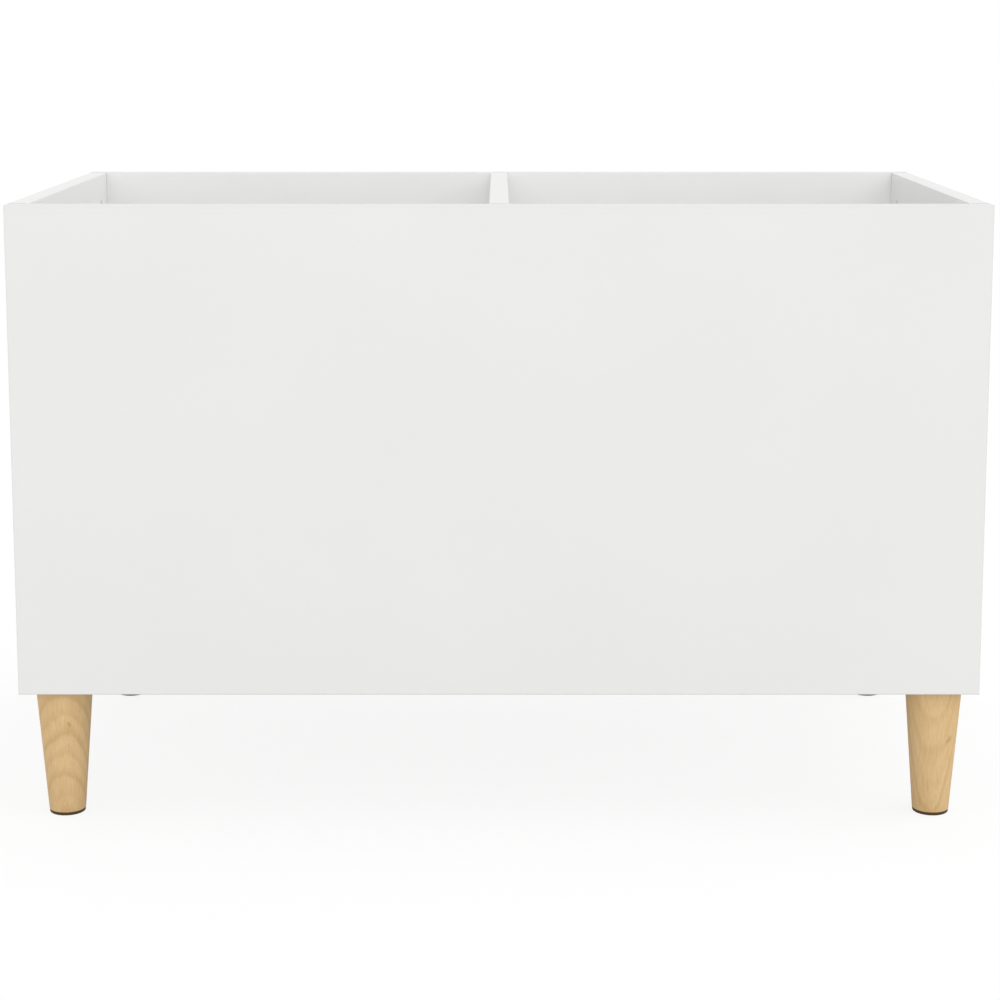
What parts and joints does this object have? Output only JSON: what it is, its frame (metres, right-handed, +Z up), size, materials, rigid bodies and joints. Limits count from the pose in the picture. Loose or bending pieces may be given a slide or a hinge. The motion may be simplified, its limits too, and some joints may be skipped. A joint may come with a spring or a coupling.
{
  "type": "record cabinet",
  "caption": "Open-topped record cabinet: a low white board box with side-by-side bays for records stood on edge, a centre divider, cam-locked corners and turned tapered wooden legs.",
  "frame": {"origin": "on the floor, under the middle of the box", "axes": "+X to the right along the front, +Y from the front to the back, +Z up; the front faces -Y"},
  "size_m": [0.745, 0.38, 0.4835],
  "materials": {
    "white_board": "melamine-faced chipboard, satin white",
    "edge_band": "plastic edge band, satin white",
    "leg_wood": "turned hardwood, clear satin lacquer",
    "foot_pad": "moulded, matt dark brown",
    "zinc": "die-cast zinc, bare",
    "plated_steel": "zinc-plated steel",
    "dowel_wood": "plain beech"
  },
  "bodies": {
    "cabinet": {"back_bottom_band": "edge_band", "back_left_band": "edge_band", "back_panel": "white_board", "back_right_band": "edge_band", "back_top_band": "edge_band", "cam_bolts": "plated_steel", "centre_divider": "white_board", "divider_top_band": "edge_band", "dowels": "dowel_wood", "floor_panel": "white_board", "front_bottom_band": "edge_band", "front_left_band": "edge_band", "front_left_foot_pad": "foot_pad", "front_left_leg": "leg_wood", "front_panel": "white_board", "front_right_band": "edge_band", "front_right_foot_pad": "foot_pad", "front_right_leg": "leg_wood", "front_top_band": "edge_band", "hanger_bolts": "plated_steel", "left_side_bottom_band": "edge_band", "left_side_panel": "white_board", "left_side_top_band": "edge_band", "leg_inserts": "plated_steel", "pad_nails": "plated_steel", "rear_left_foot_pad": "foot_pad", "rear_left_leg": "leg_wood", "rear_right_foot_pad": "foot_pad", "rear_right_leg": "leg_wood", "right_side_bottom_band": "edge_band", "right_side_panel": "white_board", "right_side_top_band": "edge_band"},
    "divider_front_lower_cam": {"divider_front_lower_cam": "zinc"},
    "divider_front_upper_cam": {"divider_front_upper_cam": "zinc"},
    "divider_rear_lower_cam": {"divider_rear_lower_cam": "zinc"},
    "divider_rear_upper_cam": {"divider_rear_upper_cam": "zinc"},
    "floor_left_front_cam": {"floor_left_front_cam": "zinc"},
    "floor_left_rear_cam": {"floor_left_rear_cam": "zinc"},
    "floor_right_front_cam": {"floor_right_front_cam": "zinc"},
    "floor_right_rear_cam": {"floor_right_rear_cam": "zinc"},
    "left_front_lower_cam": {"left_front_lower_cam": "zinc"},
    "left_front_upper_cam": {"left_front_upper_cam": "zinc"},
    "left_rear_lower_cam": {"left_rear_lower_cam": "zinc"},
    "left_rear_upper_cam": {"left_rear_upper_cam": "zinc"},
    "right_front_lower_cam": {"right_front_lower_cam": "zinc"},
    "right_front_upper_cam": {"right_front_upper_cam": "zinc"},
    "right_rear_lower_cam": {"right_rear_lower_cam": "zinc"},
    "right_rear_upper_cam": {"right_rear_upper_cam": "zinc"}
  },
  "joints": [
    {"name": "left_front_upper_turn", "type": "hinge", "parent": "cabinet", "child": "left_front_upper_cam", "pos_m": [-0.3575, -0.145, 0.4535], "axis": [1, 0, 0], "range_deg": [0, 180]},
    {"name": "left_front_lower_turn", "type": "hinge", "parent": "cabinet", "child": "left_front_lower_cam", "pos_m": [-0.3575, -0.145, 0.1485], "axis": [1, 0, 0], "range_deg": [0, 180]},
    {"name": "left_rear_upper_turn", "type": "hinge", "parent": "cabinet", "child": "left_rear_upper_cam", "pos_m": [-0.3575, 0.145, 0.4535], "axis": [1, 0, 0], "range_deg": [0, 180]},
    {"name": "left_rear_lower_turn", "type": "hinge", "parent": "cabinet", "child": "left_rear_lower_cam", "pos_m": [-0.3575, 0.145, 0.1485], "axis": [1, 0, 0], "range_deg": [0, 180]},
    {"name": "right_front_upper_turn", "type": "hinge", "parent": "cabinet", "child": "right_front_upper_cam", "pos_m": [0.3575, -0.145, 0.4535], "axis": [-1, 0, 0], "range_deg": [0, 180]},
    {"name": "right_front_lower_turn", "type": "hinge", "parent": "cabinet", "child": "right_front_lower_cam", "pos_m": [0.3575, -0.145, 0.1485], "axis": [-1, 0, 0], "range_deg": [0, 180]},
    {"name": "right_rear_upper_turn", "type": "hinge", "parent": "cabinet", "child": "right_rear_upper_cam", "pos_m": [0.3575, 0.145, 0.4535], "axis": [-1, 0, 0], "range_deg": [0, 180]},
    {"name": "right_rear_lower_turn", "type": "hinge", "parent": "cabinet", "child": "right_rear_lower_cam", "pos_m": [0.3575, 0.145, 0.1485], "axis": [-1, 0, 0], "range_deg": [0, 180]},
    {"name": "divider_front_upper_turn", "type": "hinge", "parent": "cabinet", "child": "divider_front_upper_cam", "pos_m": [0.0075, -0.145, 0.4535], "axis": [1, 0, 0], "range_deg": [0, 180]},
    {"name": "divider_front_lower_turn", "type": "hinge", "parent": "cabinet", "child": "divider_front_lower_cam", "pos_m": [0.0075, -0.145, 0.1485], "axis": [1, 0, 0], "range_deg": [0, 180]},
    {"name": "divider_rear_upper_turn", "type": "hinge", "parent": "cabinet", "child": "divider_rear_upper_cam", "pos_m": [0.0075, 0.145, 0.4535], "axis": [1, 0, 0], "range_deg": [0, 180]},
    {"name": "divider_rear_lower_turn", "type": "hinge", "parent": "cabinet", "child": "divider_rear_lower_cam", "pos_m": [0.0075, 0.145, 0.1485], "axis": [1, 0, 0], "range_deg": [0, 180]},
    {"name": "floor_left_front_turn", "type": "hinge", "parent": "cabinet", "child": "floor_left_front_cam", "pos_m": [-0.3275, -0.0805, 0.1035], "axis": [0, 0, -1], "range_deg": [0, 180]},
    {"name": "floor_left_rear_turn", "type": "hinge", "parent": "cabinet", "child": "floor_left_rear_cam", "pos_m": [-0.3275, 0.0805, 0.1035], "axis": [0, 0, -1], "range_deg": [0, 180]},
    {"name": "floor_right_front_turn", "type": "hinge", "parent": "cabinet", "child": "floor_right_front_cam", "pos_m": [0.3275, -0.0805, 0.1035], "axis": [0, 0, -1], "range_deg": [0, 180]},
    {"name": "floor_right_rear_turn", "type": "hinge", "parent": "cabinet", "child": "floor_right_rear_cam", "pos_m": [0.3275, 0.0805, 0.1035], "axis": [0, 0, -1], "range_deg": [0, 180]}
  ]
}
